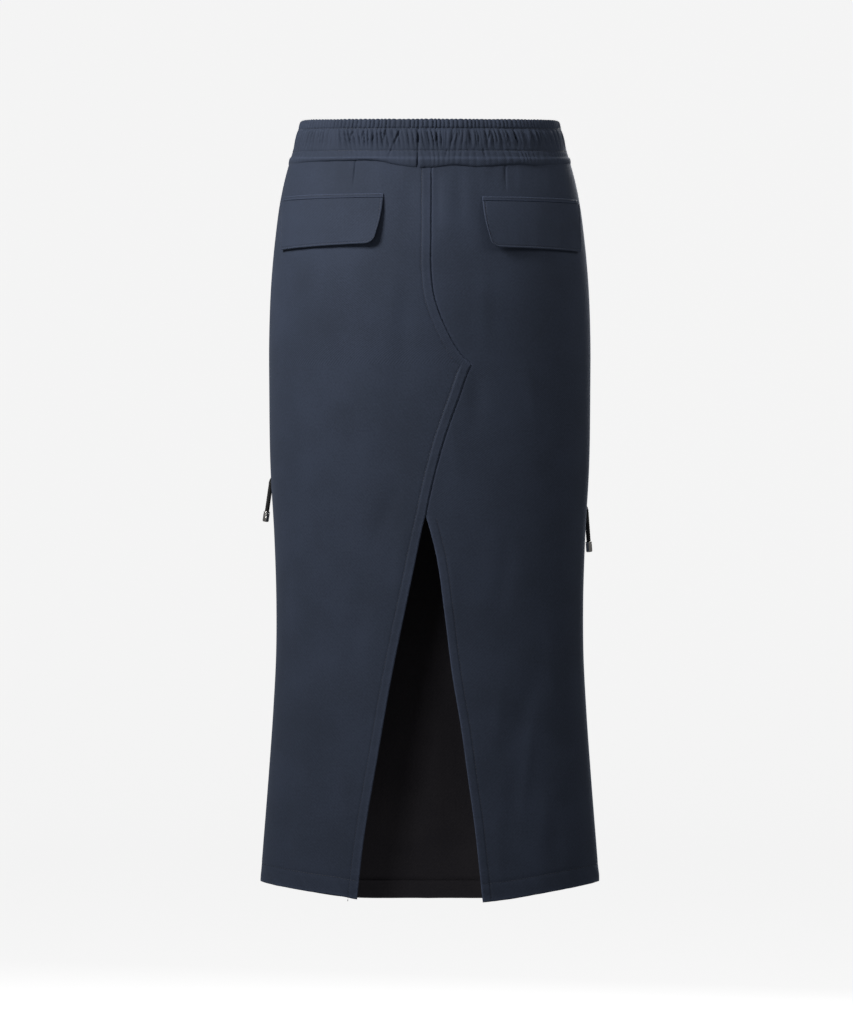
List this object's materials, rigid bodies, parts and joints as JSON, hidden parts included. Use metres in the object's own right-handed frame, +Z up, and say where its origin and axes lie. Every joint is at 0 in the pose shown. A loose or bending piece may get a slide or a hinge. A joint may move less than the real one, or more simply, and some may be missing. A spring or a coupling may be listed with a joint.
{
  "type": "mermaid skirt",
  "caption": "Long skirt with a gathered elastic waistband, flap pockets, a shaped back seam over an open slit and a drawcord end at each side.",
  "frame": {"origin": "centre of the waistband's hollow, half way down the band, where the wearer's waist holds the skirt", "axes": "+Z up, from the hem to the waist; +Y towards the skirt's front; -Y towards its back, with the seam and the slit; +X towards the wearer's right"},
  "size_m": [0.3758, 0.2299, 0.868],
  "materials": {
    "navy_twill": "dark navy wool-blend twill, matt with a faint sheen",
    "gathered_band": "the same twill, gathered over elastic",
    "black_cord": "round braided cord, matt black",
    "nickel": "bright nickel plate"
  },
  "bodies": {
    "root": {"front": "navy_twill", "back_left": "navy_twill", "back_right": "navy_twill", "waistband": "gathered_band", "flap_left": "navy_twill", "flap_right": "navy_twill", "welt_left": "navy_twill", "welt_right": "navy_twill", "eyelet_left": "nickel", "eyelet_right": "nickel", "cord_left": "black_cord", "cord_right": "black_cord", "tip_left": "nickel", "tip_right": "nickel"}
  },
  "joints": []
}
